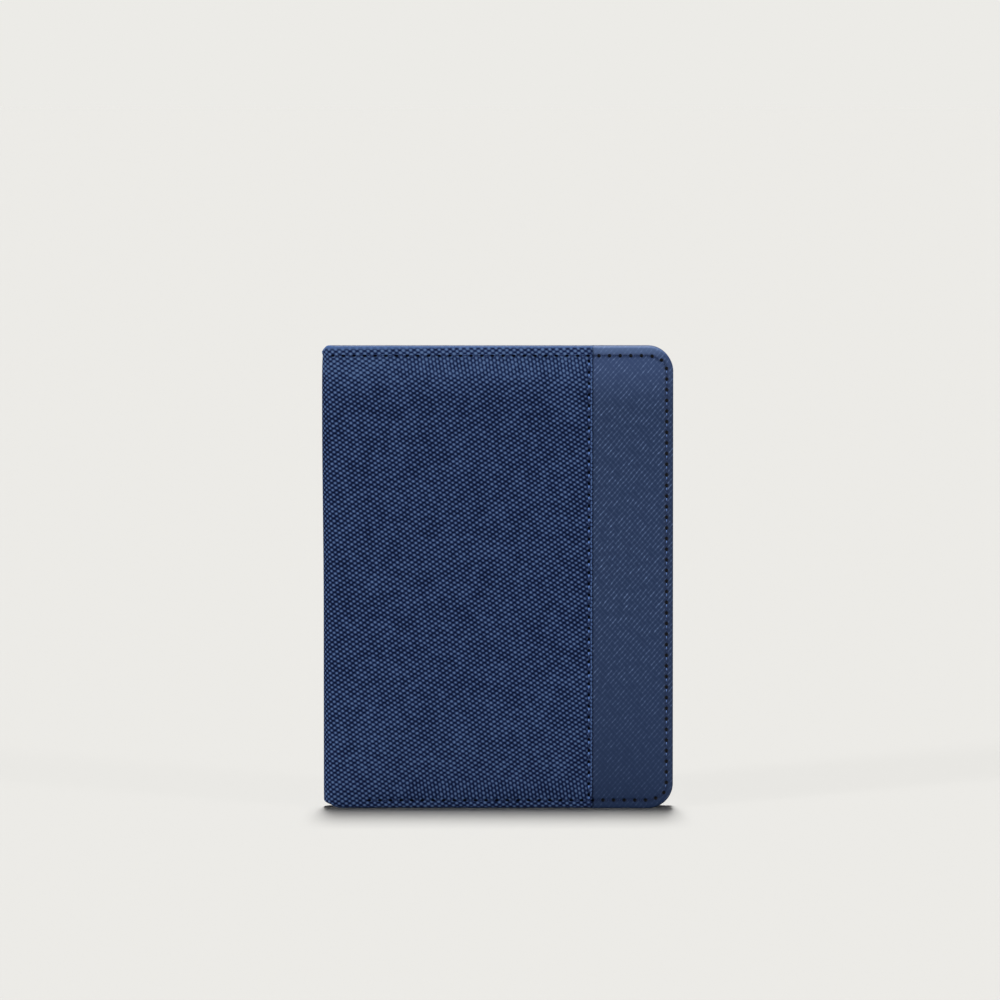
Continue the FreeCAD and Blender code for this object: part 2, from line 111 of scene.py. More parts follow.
# Greyboard reads as a dull mid grey with small paler flecks of pulp, and it has no shine.
# A piece's own coordinates are in metres, so a pattern's count to the millimetre is taken 1000 times.
FLECKS_PER_MM = 0.9

greyboard, tree, shader = new_material("greyboard_pressed")
place = add(tree, "TexCoord").outputs["Object"]
flecks = add(tree, "TexNoise", Vector=place, Scale=1000 * FLECKS_PER_MM, Detail=4.0).outputs["Fac"]
tree.links.new(two_tones(tree, flecks, "#76736b", "#a19d93"), shader.inputs["Base Color"])
shader.inputs["Roughness"].default_value = 0.95

for node in ("front_board", "back_board"):
    carried = bpy.data.objects[node]
    carried.data.materials.clear()
    carried.data.materials.append(greyboard)

# The spine's strip is cut short of the dips in the skins at its ends, so it stays sealed in.
HEIGHT = box_mm("front_leather_band")[1][2]
STRIP_ABOVE_FOOT = 2.6
STRIP_BELOW_TOP = 2.2
strip_low, strip_high = box_mm("spine_strip")
strip_low[2] = STRIP_ABOVE_FOOT
strip_high[2] = HEIGHT - STRIP_BELOW_TOP
corners = np.array([(i, j, k) for k in (0, 1) for j in (0, 1) for i in (0, 1)])
points = (strip_low + (strip_high - strip_low) * corners) / 1000
faces = [(0, 2, 3, 1), (4, 5, 7, 6), (0, 1, 5, 4), (1, 3, 7, 5), (3, 2, 6, 7), (2, 0, 4, 6)]
strip_mesh = bpy.data.meshes.new("spine_strip_board")
strip_mesh.from_pydata(points.tolist(), [], faces)
strip_mesh.materials.append(greyboard)
strip = in_scene("spine_strip_board", strip_mesh)
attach(strip, "spine")
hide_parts("spine_strip")

# --------------------------------------------------------------------------------------------------------
# Sewing lines
# Lockstitch, 8 to the inch along the covers' edges, and slightly longer stitches down the leather's seam.
# The edge line starts a way from the spine along the bottom, goes round both corners and back along the top.
# --------------------------------------------------------------------------------------------------------
SPINE_X = box_mm("spine_canvas")[0][0]
SEAM_X = box_mm("front_canvas")[1][0]
EDGE_X = box_mm("front_leather_band")[1][0]
CORNER = 7.5
PITCH = 3.18
SEAM_PITCH = 3.31
LOW_INSET, HIGH_INSET, SIDE_INSET = 2.5, 2.8, 1.95
SEAM_INSET = 1.1
SEAM_SHORT = 1.6
LOW_START = SPINE_X + 14.0
HIGH_START = SPINE_X + 3.2


def rounded_corners(x, z, edge_x=EDGE_X, low=0.0, high=HEIGHT, radius=CORNER):
    """Carries a square corner onto a quarter disc, ring by ring, at the two corners on the opening edge.

    A ring is the points at one distance from the nearer edge, and it keeps that distance. What lies past an
    edge is brought back to it. The third result is the distance from the edge, less than 0 past it."""
    middle, half = (low + high) / 2, (high - low) / 2
    side = np.where(z < middle, -1.0, 1.0)
    inset = np.minimum(edge_x - x, half - np.abs(z - middle))
    across = (x - (edge_x - radius)) / radius
    upward = (np.abs(z - middle) - (half - radius)) / radius
    ring = np.clip(np.maximum(across, upward), 1e-9, None)
    corner = (across > 0) & (upward > 0)
    share = np.minimum(across, upward) / ring
    angle = np.where(across >= upward, share * math.pi / 4, math.pi / 2 - share * math.pi / 4)
    reach = np.minimum(ring, 1) * radius
    corner_x = edge_x - radius + reach * np.cos(angle)
    corner_z = middle + side * (half - radius + reach * np.sin(angle))
    new_x = np.where(corner, corner_x, np.minimum(x, edge_x))
    new_z = np.where(corner, corner_z, np.clip(z, low, high))
    return new_x, new_z, inset


def sewn_outline(steps=4000):
    """Points along the edge line: three straight runs at their insets, rounded like the cover's corners."""
    low = np.linspace(LOW_START, EDGE_X - SIDE_INSET, steps)
    side = np.linspace(LOW_INSET, HEIGHT - HIGH_INSET, 2 * steps)
    high = np.linspace(EDGE_X - SIDE_INSET, HIGH_START, steps)
    x = np.concatenate([low, np.full(2 * steps, low[-1]), high])
    z = np.concatenate([np.full(steps, side[0]), side, np.full(steps, side[-1])])
    new_x, new_z, _ = rounded_corners(x, z)
    return np.stack([new_x, new_z], axis=1)


def evenly(line, pitch):
    """Points a pitch apart along a line of points, with the pitch adjusted to fit a whole number."""
    lengths = np.concatenate([[0], np.cumsum(np.hypot(*np.diff(line, axis=0).T))])
    count = int(round(lengths[-1] / pitch))
    at = np.linspace(0, lengths[-1], count + 1)
    return np.stack([np.interp(at, lengths, line[:, 0]), np.interp(at, lengths, line[:, 1])], axis=1)


EDGE_HOLES = evenly(sewn_outline(), PITCH)
seam_ends = np.array([LOW_INSET + SEAM_SHORT, HEIGHT - HIGH_INSET - SEAM_SHORT])
SEAM_HOLES = evenly(np.stack([np.full(2, SEAM_X - SEAM_INSET), seam_ends], axis=1), SEAM_PITCH)


def nearest(x, z, holes):
    """Distance from each point to the nearest hole."""
    flat = np.full(x.size, 1e9)
    for hole in holes:
        flat = np.minimum(flat, np.hypot(x.ravel() - hole[0], z.ravel() - hole[1]))
    return flat.reshape(x.shape)


# --------------------------------------------------------------------------------------------------------
# Lining
# Thin fine-grained leather, glued over the boards inside and round the spine. The real piece is one sheet, and
# is drawn in two halves that meet in the middle of the spine. Its cut edge ends level with the covers' top.
# --------------------------------------------------------------------------------------------------------
spine_high = box_mm("spine_canvas")[1]
lining_low, lining_high = box_mm("front_lining")
BEND_X = spine_high[0]
HALF = spine_high[1]
BEND_RADIUS = BEND_X - SPINE_X
FLAT = HALF - BEND_RADIUS
BEND_END = FLAT + BEND_RADIUS * math.pi / 2
ALONG_COVER = BEND_END - BEND_X
LINING_DEPTH = HALF + lining_low[1]
LINING_THICK = lining_high[1] - lining_low[1]
LINING_FOOT_RISE = 1.6
LINING_TOP_DIP = 1.2
FRONT, BACK = -1, 1
COVERS = (("front", FRONT), ("back", BACK))


def smooth(low, high, value):
    """0 below low, 1 above high, and an S-shaped ease between them."""
    share = np.clip((value - low) / (high - low), 0, 1)
    return share * share * (3 - 2 * share)


def round_spine(along, depth, side):
    """Plan of a sheet at that depth: from the middle of the spine's flat, round the bend, along the cover.

    along is the distance on the canvas's outer face. A point is x, y and the outward direction there."""
    turn = np.clip((along - FLAT) / BEND_RADIUS, 0, math.pi / 2)
    straight = np.clip(along - BEND_END, 0, None)
    out_x, out_y = -np.cos(turn), np.sin(turn)
    radius = BEND_RADIUS - depth
    x = BEND_X + radius * out_x + straight
    y = np.minimum(along, FLAT) + radius * out_y
    return x, side * y, out_x, side * out_y


def sheet_piece(name, points, thickness, outward, uv=None, values=None):
    """A sheet whose outer face is a grid of points in millimetres, shape (rows, columns, 3).

    uv is a grid of pattern coordinates, values a dictionary of numbers per point. outward -1 turns the faces.
    The thickness goes inwards from the outer face."""
    rows, columns = points.shape[:2]
    index = np.arange(rows * columns).reshape(rows, columns)
    corners = [index[:-1, :-1], index[:-1, 1:], index[1:, 1:], index[1:, :-1]]
    faces = np.stack(corners[::outward], axis=-1).reshape(-1, 4)
    mesh = bpy.data.meshes.new(name)
    mesh.from_pydata((points.reshape(-1, 3) / 1000).tolist(), [], faces.tolist())
    mesh.polygons.foreach_set("use_smooth", np.ones(len(faces), bool))
    if uv is not None:
        layer = mesh.uv_layers.new(name="cloth")
        layer.data.foreach_set("uv", uv.reshape(-1, 2)[faces.ravel()].astype(np.float32).ravel())
    for key, grid in (values or {}).items():
        attribute = mesh.attributes.new(key, "FLOAT", "POINT")
        spread = np.broadcast_to(grid, (rows, columns))
        attribute.data.foreach_set("value", spread.astype(np.float32).ravel())
    mesh.update()
    piece = in_scene(name, mesh)
    solid = piece.modifiers.new("thickness", "SOLIDIFY")
    solid.thickness = thickness / 1000
    solid.offset = -1
    return piece


# The leather reads as a soft navy that drifts a little lighter and darker. A fine pebble dulls its shine.
PEBBLES_PER_MM = 1.5
DRIFTS_PER_MM = 0.045

lining_leather, tree, shader = new_material("lining_leather_fine_grain")
place = add(tree, "TexCoord").outputs["Object"]
smoothed = {"feature": "SMOOTH_F1"}
pebble = add(tree, "TexVoronoi", smoothed, Vector=place, Scale=1000 * PEBBLES_PER_MM).outputs["Distance"]
drift = add(tree, "TexNoise", Vector=place, Scale=1000 * DRIFTS_PER_MM, Detail=3.0).outputs["Fac"]
tree.links.new(two_tones(tree, drift, "#2c3e62", "#354a70"), shader.inputs["Base Color"])
relief = add(tree, "Bump", Height=pebble, Strength=0.5, Distance=0.00012)
tree.links.new(relief.outputs["Normal"], shader.inputs["Normal"])
shader.inputs["Roughness"].default_value = 0.55


def lining(word, side):
    """A sheet that follows the spine's plan at the lining's depth, with the covers' rounded corners.

    Near the spine its height is eased down from the top and up from the foot."""
    bend = np.linspace(0, BEND_END, 15)
    cover = ALONG_COVER + np.linspace(BEND_X, EDGE_X, 70)[1:]
    along, z = np.meshgrid(np.concatenate([bend, cover]), np.linspace(0, HEIGHT, 93), indexing="ij")
    x, y, _, _ = round_spine(along, LINING_DEPTH, side)
    foot = LINING_FOOT_RISE * (1 - smooth(0, 11, along))
    top = HEIGHT - LINING_TOP_DIP * (1 - smooth(1.5, 6, along))
    z = z / HEIGHT * (top - foot) + foot
    x, z, _ = rounded_corners(x, z)
    piece = sheet_piece(f"{word}_lining_sheet", np.stack([x, y, z], axis=-1), LINING_THICK, side)
    piece.data.materials.append(lining_leather)
    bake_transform(piece)
    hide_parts(f"{word}_lining", "spine_lining")


for word, side in COVERS:
    lining(word, side)

# --------------------------------------------------------------------------------------------------------
# Canvas
# Plain-woven polyester canvas over thin foam, in one sheet from seam to seam round the spine. Its top and
# bottom edges are turned over the boards, and its side edges are turned under on the leather and sewn down.
# --------------------------------------------------------------------------------------------------------
BAND_DEPTH = HALF + box_mm("front_leather_band")[0][1]
CANVAS_THICK = 0.35
HEM_RADIUS = 0.6
FOLD_RADIUS = 0.5
FOOT_GAP = 0.35
FOOT_RISE = 1.7
TOP_GAP = 0.05
TOP_DIP = 1.15
PUFF = 0.75
PUFF_RUN = 2.6
SEAM_RUN = 1.8
RIDGE = 0.24
RIDGE_WIDTH = 2.3
CHANNEL = 0.16
DIMPLE = 0.14
DIMPLE_RADIUS = 0.62
SCALLOP = 0.07
WANDER = 0.4


def crown(x, z):
    """How far the canvas stands above its sewn lines: it rises steeply beside them and is nearly flat beyond.

    The rise is a product of one easing per sewn line. Between a line and the edge there is a low ridge."""
    low_line = LOW_INSET - 4.0 * (1 - smooth(LOW_START - 4, LOW_START + 3, x))
    high_line = HEIGHT - HIGH_INSET
    seam_line = SEAM_X - SEAM_INSET
    inner = [np.clip(d, 0, None) for d in (z - low_line, high_line - z, seam_line - x)]
    eased = [1 - np.exp(-d / run) for d, run in zip(inner, (PUFF_RUN, PUFF_RUN, SEAM_RUN))]
    rise = eased[0] * eased[1] * eased[2]
    spine_share = 0.3 + 0.7 * smooth(BEND_X - 6, BEND_X + 22, x)
    outer = np.maximum(np.maximum(low_line - z, z - high_line), x - seam_line)
    ridge = RIDGE * np.sin(np.clip(outer / RIDGE_WIDTH, 0, 1) * math.pi)
    return PUFF * rise * spine_share + ridge - CHANNEL


def canvas(word, side):
    """The outer face: the spine's plan carried up the height, with the hems and the seam fold turned inwards.

    Its depth is the hem's quarter-round plus the seam's quarter-round, less the crown, plus the dimples."""
    bend = np.linspace(0, BEND_END, 19)
    field = np.arange(BEND_X, SEAM_X - 5.2, PITCH / 3)[1:]
    by_seam = np.arange(SEAM_X - 4.9, SEAM_X - FOLD_RADIUS, 0.28)
    straight = ALONG_COVER + np.concatenate([field, by_seam])
    fold = np.linspace(0, math.pi / 2, 6)
    last = ALONG_COVER + SEAM_X - FOLD_RADIUS
    along = np.concatenate([bend, straight, last + FOLD_RADIUS * np.sin(fold), [last + FOLD_RADIUS]])
    fold_depth = np.zeros(len(along))
    fold_depth[-len(fold) - 1 : -1] = FOLD_RADIUS * (1 - np.cos(fold))
    fold_depth[-1] = BAND_DEPTH + 0.2

    near = np.concatenate([np.arange(0, 5.6, 0.28), np.arange(5.8, HEIGHT / 2, 1.15)])
    hem = np.linspace(math.pi / 2, 0, 6)[:-1]
    wall = np.array([LINING_DEPTH - 0.05, LINING_DEPTH * 0.6, HEM_RADIUS + 0.3])
    profile_depth = np.concatenate([wall, HEM_RADIUS * (1 - np.cos(hem))])
    profile_height = np.concatenate([np.zeros(len(wall)), HEM_RADIUS * (1 - np.sin(hem))])
    inside = near + HEM_RADIUS
    inside = inside[inside < HEIGHT / 2]
    low_z = np.concatenate([profile_height, inside])
    low_depth = np.concatenate([profile_depth, np.zeros(len(inside))])
    z_rows = np.concatenate([low_z, HEIGHT - low_z[::-1]])
    depth_rows = np.concatenate([low_depth, low_depth[::-1]])

    along, z0 = np.meshgrid(along, z_rows, indexing="ij")
    depth = fold_depth[:, None] + depth_rows[None, :]
    x, y, out_x, out_y = round_spine(along, 0.0, side)
    low = FOOT_GAP + FOOT_RISE * (1 - smooth(0, 12.5, along))
    high = HEIGHT - TOP_GAP - TOP_DIP * (1 - smooth(2.2, 5.2, along))
    end_share = smooth(0, 6, np.minimum(z0, HEIGHT - z0))
    z = np.where(z0 < HEIGHT / 2, z0 + low * (1 - end_share), z0 - (HEIGHT - high) * (1 - end_share))
    on_face = np.clip(1 - depth / 0.5, 0, 1)
    cover_x = along - ALONG_COVER
    near_hole = np.minimum(nearest(cover_x, z, EDGE_HOLES), nearest(cover_x, z, SEAM_HOLES))
    lift = crown(cover_x, z) - DIMPLE * np.exp(-((near_hole / DIMPLE_RADIUS) ** 2))
    wander = WANDER * (1 - smooth(60, 118, z)) * (1 - smooth(2, 9, along))
    depth = depth - lift * on_face
    x = x - out_x * depth + wander
    y = y - out_y * depth
    scallop = SCALLOP * np.cos((z - SEAM_HOLES[0, 1]) / SEAM_PITCH * 2 * math.pi)
    x = x - scallop * smooth(SEAM_X - 1.2, SEAM_X, cover_x)
    points = np.stack([x, y, z], axis=-1)
    from_line = np.minimum(z - LOW_INSET, HEIGHT - HIGH_INSET - z)
    pull = smooth(-0.3, 1.0, from_line) * (1 - smooth(4.0, 8.0, from_line)) * smooth(-38, -20, cover_x)
    # edge marks the strip beside the seam's fold, which the material paints darker as painted shade.
    edge = smooth(SEAM_X - 2.6, SEAM_X - 1.2, cover_x)
    # hem marks the top of the turned hem, which the material paints pale as a painted highlight, wider near
    # the spine.
    rim_width = 0.4 + 0.45 * (1 - smooth(10, 45, along))
    hem = smooth(-0.12, 0.12, z - (high - rim_width))
    uv = np.stack([cover_x, z], axis=-1)
    values = {"pull": pull, "edge": edge, "hem": hem, "reach": -side * along - ALONG_COVER}
    piece = sheet_piece(f"{word}_canvas_sheet", points, CANVAS_THICK, side, uv, values)
    piece.data.materials.append(woven_canvas)
    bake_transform(piece)
    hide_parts(f"{word}_canvas", "spine_canvas")


def maths(tree, operation, *values):
    """The result of a Math node for those sockets or numbers."""
    links = {f"in{place}": value for place, value in enumerate(values)}
    return add(tree, "Math", {"operation": operation}, **links).outputs[0]


def cosine(tree, phase):
    """cos(2 pi phase) of a socket."""
    return maths(tree, "COSINE", maths(tree, "MULTIPLY", phase, 2 * math.pi))


def sewn_step(holes):
    """The distance from one hole to the next."""
    return float(np.hypot(*(holes[1] - holes[0])))


def row_of_spots(tree, place, axis, start, stop, line, step, size):
    """1 inside a row of ovals from start to stop on the axis, along line, one every step; 0 outside them.

    size is an oval's half length and half width. The spot falls from 1 to 0 where the length of
    (wrapped distance along / half length, distance across / half width) goes from 0.75 to 1.25."""
    split = add(tree, "SeparateXYZ", Vector=place).outputs
    along, across = (split[0], split[1]) if axis == "X" else (split[1], split[0])
    along = maths(tree, "SUBTRACT", along, float(start))
    begun = maths(tree, "GREATER_THAN", along, -step / 2)
    going = maths(tree, "LESS_THAN", along, float(stop - start))
    begun = maths(tree, "MULTIPLY", begun, going)
    along = maths(tree, "WRAP", along, step / 2, -step / 2)
    along = maths(tree, "DIVIDE", along, size[0])
    across = maths(tree, "SUBTRACT", across, float(line))
    across = maths(tree, "DIVIDE", across, size[1])
    both = add(tree, "CombineXYZ", in0=along, in1=across).outputs[0]
    apart = add(tree, "VectorMath", {"operation": "LENGTH"}, in0=both).outputs["Value"]
    mask = add(tree, "MapRange", Value=apart, in1=1.25, in2=0.75).outputs[0]
    return maths(tree, "MULTIPLY", mask, begun)


# The canvas reads as pale blue threads over gaps painted near-black as shade, so it is a mid navy from afar.
# Threads and broad patches differ a little, the top of the turned hem is painted pale as a highlight, the
# strip beside the seam's fold is painted darker as shade, the weave is painted lighter towards the top as a
# highlight and lighter towards the foot to offset the shade there, and just inside the sewn lines the yarn is
# drawn out.
# Threads cross every 1.06 mm across and 0.71 mm up, a little off square, so the raised ones make a lattice.
WEAVE_RISING = (0.487, -0.631, 0.0)
WEAVE_FALLING = (0.4545, 0.778, 0.0)
WEAVE_BEND = (0.45, 0.45, 0.0)
COLUMN_SHARE = 0.35
PULL_SHARE = 0.28

woven_canvas, tree, shader = new_material("canvas_plain_woven_polyester")
place = add(tree, "UVMap", {"uv_map": "cloth"}).outputs["UV"]
height = add(tree, "SeparateXYZ", Vector=place).outputs[1]
reach = add(tree, "Attribute", {"attribute_name": "reach"}).outputs["Fac"]
cloth = add(tree, "CombineXYZ", in0=reach, in1=height).outputs[0]
bend_noise = add(tree, "TexNoise", Vector=cloth, Scale=0.16, Detail=2.0).outputs["Color"]
shift = add(tree, "VectorMath", {"operation": "MULTIPLY_ADD"}, in0=bend_noise, in1=WEAVE_BEND, in2=cloth)
rising = add(tree, "VectorMath", {"operation": "DOT_PRODUCT"}, in0=shift.outputs[0], in1=WEAVE_RISING)
falling = add(tree, "VectorMath", {"operation": "DOT_PRODUCT"}, in0=shift.outputs[0], in1=WEAVE_FALLING)
rising, falling = rising.outputs["Value"], falling.outputs["Value"]
raised = maths(tree, "ADD", cosine(tree, rising), cosine(tree, falling))
column = cosine(tree, maths(tree, "ADD", rising, falling))
raised = maths(tree, "MULTIPLY_ADD", column, COLUMN_SHARE, raised)
raised = maths(tree, "DIVIDE", raised, 2 + COLUMN_SHARE)
pull = add(tree, "Attribute", {"attribute_name": "pull"}).outputs["Fac"]
pull_share = maths(tree, "MULTIPLY", pull, PULL_SHARE)
raised = add(tree, "Mix", in0=pull_share, in2=raised, in3=column).outputs[0]
across = maths(tree, "ROUND", rising)
upward = maths(tree, "ROUND", falling)
crossing = add(tree, "CombineXYZ", in0=across, in1=upward).outputs[0]
chance = add(tree, "TexWhiteNoise", {"noise_dimensions": "2D"}, Vector=crossing).outputs["Value"]
vary = add(tree, "MapRange", Value=chance, in3=-0.15, in4=0.15).outputs[0]
raised_tone = maths(tree, "ADD", raised, vary)
s_shaped = {"interpolation_type": "SMOOTHSTEP"}
# Painted light: the weave is lightened towards the top as a painted highlight, and towards the foot to offset
# the shade that falls there.
painted_top_highlight = add(tree, "MapRange", s_shaped, Value=height, in1=HEIGHT - 16, in2=HEIGHT - 4, in4=0.3).outputs[0]
raised_tone = maths(tree, "ADD", raised_tone, painted_top_highlight)
painted_foot_light = add(tree, "MapRange", Value=height, in1=50.0, in2=5.0, in4=0.13).outputs[0]
raised_tone = maths(tree, "ADD", raised_tone, painted_foot_light)
blotch = add(tree, "TexNoise", Vector=cloth, Scale=0.12, Detail=3.0).outputs["Fac"]
blotch = add(tree, "MapRange", Value=blotch, in1=0.3, in2=0.7, in3=-0.06, in4=0.06).outputs[0]
raised_tone = maths(tree, "ADD", raised_tone, blotch)
# The weave's colour follows its height: the low gaps between the raised threads are painted near-black as
# shade.
ramp = add(tree, "ValToRGB", Fac=add(tree, "MapRange", Value=raised_tone, in1=-1.0, in2=1.0).outputs[0])
stops = (0.12, "#060c20"), (0.36, "#111b38"), (0.56, "#26345a"), (0.76, "#3f5479"), (0.97, "#566e96")
ramp.color_ramp.elements[0].position = stops[0][0]
ramp.color_ramp.elements[1].position = stops[-1][0]
for at, _ in stops[1:-1]:
    ramp.color_ramp.elements.new(at)
for element, (_, tone) in zip(ramp.color_ramp.elements, stops):
    element.color = linear(tone)
# Painted shade: the canvas is darkened beside the seam's fold.
edge = add(tree, "Attribute", {"attribute_name": "edge"}).outputs["Fac"]
seam_fold_shade = maths(tree, "MULTIPLY", edge, 0.3)
tone = two_tones(tree, seam_fold_shade, ramp.outputs[0], "#1a2547")
# Painted highlight: the top of the turned hem is painted pale where the light from above catches it.
hem = add(tree, "Attribute", {"attribute_name": "hem"}).outputs["Fac"]
hem_highlight = maths(tree, "MULTIPLY", hem, 0.85)
tone = two_tones(tree, hem_highlight, tone, "#465d88")
high_row = EDGE_HOLES[(EDGE_HOLES[:, 1] > HEIGHT - 4) & (EDGE_HOLES[:, 0] < SEAM_X)][-1]
low_row = EDGE_HOLES[0]
seam_row = SEAM_HOLES[0, ::-1]
edge_step, seam_step = sewn_step(EDGE_HOLES), sewn_step(SEAM_HOLES)
# Needle holes are painted near-black as shade over shallow dimples.
HOLE_SHADE_TONE = "#03050c"
# In order: the holes along the top and the foot, painted near-black as shade, painted highlights on the bumps
# of the folded edge beside the seam, the seam's holes, painted as shade too, and a painted highlight on the
# bit of thread below each of those.
rows = (
    ("X", high_row, edge_step, (0.62, 0.36), HOLE_SHADE_TONE),
    ("X", low_row, edge_step, (0.62, 0.36), HOLE_SHADE_TONE),
    ("Y", seam_row + (0.5, 0.75), 1.1, (0.42, 0.2), "#4b6390"),
    ("Y", seam_row, seam_step, (0.5, 0.42), HOLE_SHADE_TONE),
    ("Y", seam_row - (0.85, 0.0), seam_step, (0.34, 0.3), "#5877b2"),
)
for axis, (start, line), step, size, colour in rows:
    stop = SEAM_X if axis == "X" else SEAM_HOLES[-1, 1] + 1.0
    mask = row_of_spots(tree, place, axis, start, stop, line, step, size)
    tone = two_tones(tree, mask, tone, colour)
tree.links.new(tone, shader.inputs["Base Color"])
relief = add(tree, "Bump", Height=raised, Strength=0.6, Distance=0.00012)
tree.links.new(relief.outputs["Normal"], shader.inputs["Normal"])
shader.inputs["Roughness"].default_value = 0.9
shader.inputs["Specular IOR Level"].default_value = 0.03

for word, side in COVERS:
    canvas(word, side)

# --------------------------------------------------------------------------------------------------------
# Padding
# Thin soft foam glued to each board under the canvas. The sewn channels press it flat round its edges, so it
# stands highest in the middle, just under the canvas that it fills out.
# --------------------------------------------------------------------------------------------------------
FOAM_THICK = 0.75
FOAM_GAP = 0.05
CELLS_PER_MM = 2.2

# The foam reads as off-white, with fine open cells and no shine. The canvas covers it.
foam, tree, shader = new_material("foam_padding")
place = add(tree, "TexCoord").outputs["Object"]
cells = add(tree, "TexVoronoi", Vector=place, Scale=1000 * CELLS_PER_MM).outputs["Distance"]
tree.links.new(two_tones(tree, cells, "#cfccc2", "#e6e3da"), shader.inputs["Base Color"])
shader.inputs["Roughness"].default_value = 0.9


def padding(word, side):
    """A sheet in the foam's outline, whose outer face is the canvas's crown less the canvas's thickness."""
    low, high = box_mm(f"{word}_foam")
    across = np.linspace(low[0], high[0], 60)
    upward = np.linspace(low[2], high[2], 80)
    x, z = np.meshgrid(across, upward, indexing="ij")
    depth = CANVAS_THICK + FOAM_GAP - crown(x, z)
    points = np.stack([x, side * (HALF - depth), z], axis=-1)
    piece = sheet_piece(f"{word}_foam_pad", points, FOAM_THICK, side)
    piece.data.materials.append(foam)
    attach(piece, f"{word}_cover")
    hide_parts(f"{word}_foam")


for word, side in COVERS:
    padding(word, side)

# --------------------------------------------------------------------------------------------------------
# Leather bands
# Cross-grain embossed leather along the opening edge, tucked under the canvas at the seam and turned over the
# board on three sides. Sewing draws a shallow groove and leaves round needle holes.
# --------------------------------------------------------------------------------------------------------
# The leather reads as navy with a cross grain of short slanting dashes, which fade in patches. The dashes are
# painted lighter as highlights on the grain's ridges, and fade towards the foot. It has painted light near the
# top and a painted highlight on its top rim, painted shade near-black in the holes and dark in the sewn
# groove, and a low sheen.
# The two grain directions give how many lines are crossed in a millimetre across and up.
GRAIN_UP = (0.670, -0.576, 0.0)
GRAIN_DOWN = (0.585, 0.533, 0.0)
GRAIN_BEND = (0.5, 0.5, 0.0)

band_leather, tree, shader = new_material("leather_cross_grain_embossed")
place = add(tree, "UVMap", {"uv_map": "cloth"}).outputs["UV"]
bend_noise = add(tree, "TexNoise", Vector=place, Scale=0.25, Detail=2.0).outputs["Color"]
shift = add(tree, "VectorMath", {"operation": "MULTIPLY_ADD"}, in0=bend_noise, in1=GRAIN_BEND, in2=place)
up = add(tree, "VectorMath", {"operation": "DOT_PRODUCT"}, in0=shift.outputs[0], in1=GRAIN_UP)
down = add(tree, "VectorMath", {"operation": "DOT_PRODUCT"}, in0=shift.outputs[0], in1=GRAIN_DOWN)
up, down = up.outputs["Value"], down.outputs["Value"]
up_wave, down_wave = cosine(tree, up), cosine(tree, down)
up_line = add(tree, "MapRange", s_shaped, Value=up_wave, in1=0.35, in2=1.0).outputs[0]
broken = add(tree, "MapRange", Value=down_wave, in1=-0.8, in2=1.0, in3=0.5, in4=1.0).outputs[0]
dash = maths(tree, "MULTIPLY", up_line, broken)
along_line = maths(tree, "MULTIPLY", down, 0.45)
stretched = add(tree, "CombineXYZ", in0=up, in1=along_line).outputs[0]
gap = add(tree, "TexNoise", Vector=stretched, Scale=1.0, Detail=2.0).outputs["Fac"]
gap = add(tree, "MapRange", Value=gap, in1=0.36, in2=0.6, in3=0.1, in4=1.0).outputs[0]
dash = maths(tree, "MULTIPLY", dash, gap)
patch = add(tree, "TexNoise", Vector=place, Scale=0.4, Detail=4.0).outputs["Fac"]
patch = add(tree, "MapRange", Value=patch, in1=0.32, in2=0.68, in3=0.15, in4=1.0).outputs[0]
dash = maths(tree, "MULTIPLY", dash, patch)
down_line = add(tree, "MapRange", Value=down_wave, in1=0.3, in2=1.0, in3=0.0, in4=0.07).outputs[0]
grain = add(tree, "Math", {"operation": "ADD", "use_clamp": True}, in0=dash, in1=down_line).outputs[0]
upward = add(tree, "SeparateXYZ", Vector=place).outputs[1]
# The grain's painted highlights fade towards the foot, away from the light above.
grain_light_fade = add(tree, "MapRange", Value=upward, in1=4.0, in2=60.0, in3=0.35, in4=1.0).outputs[0]
grain = maths(tree, "MULTIPLY", grain, grain_light_fade)
# Painted light: the leather is lighter towards the top, where the light from above falls.
painted_top_light = add(tree, "MapRange", s_shaped, Value=upward, in1=HEIGHT - 20, in2=HEIGHT - 2).outputs[0]
tone = two_tones(tree, painted_top_light, "#213150", "#34456a")
# Painted highlight on the top rim of the leather.
rim = add(tree, "MapRange", Value=upward, in1=HEIGHT - 3, in2=HEIGHT - 1, in4=0.8).outputs[0]
tone = two_tones(tree, rim, tone, "#50648a")
# The grain's dashes are painted lighter as highlights on its ridges.
tone = two_tones(tree, grain, tone, "#62779f")
# Painted shade: the sewn groove is darkened.
groove = add(tree, "Attribute", {"attribute_name": "groove"}).outputs["Fac"]
groove = maths(tree, "MULTIPLY", groove, 0.6)
tone = two_tones(tree, groove, tone, "#131e38")
# Painted shade: the needle holes are painted near-black over their pits.
hole = add(tree, "Attribute", {"attribute_name": "hole"}).outputs["Fac"]
hole_shade = add(tree, "MapRange", s_shaped, Value=hole, in1=0.35, in2=0.62).outputs[0]
tone = two_tones(tree, hole_shade, tone, "#030409")
tree.links.new(tone, shader.inputs["Base Color"])
relief = add(tree, "Bump", Height=grain, Strength=0.5, Distance=0.0001)
tree.links.new(relief.outputs["Normal"], shader.inputs["Normal"])
shader.inputs["Roughness"].default_value = 0.55
shader.inputs["Specular IOR Level"].default_value = 0.12

BAND_THICK = 0.6
BAND_PUFF = 0.3
RIM_WIDTH = 1.5
RIM_DEPTH = 0.75
GROOVE = 0.14
HOLE_DEPTH = 0.4
TUCK = 0.6


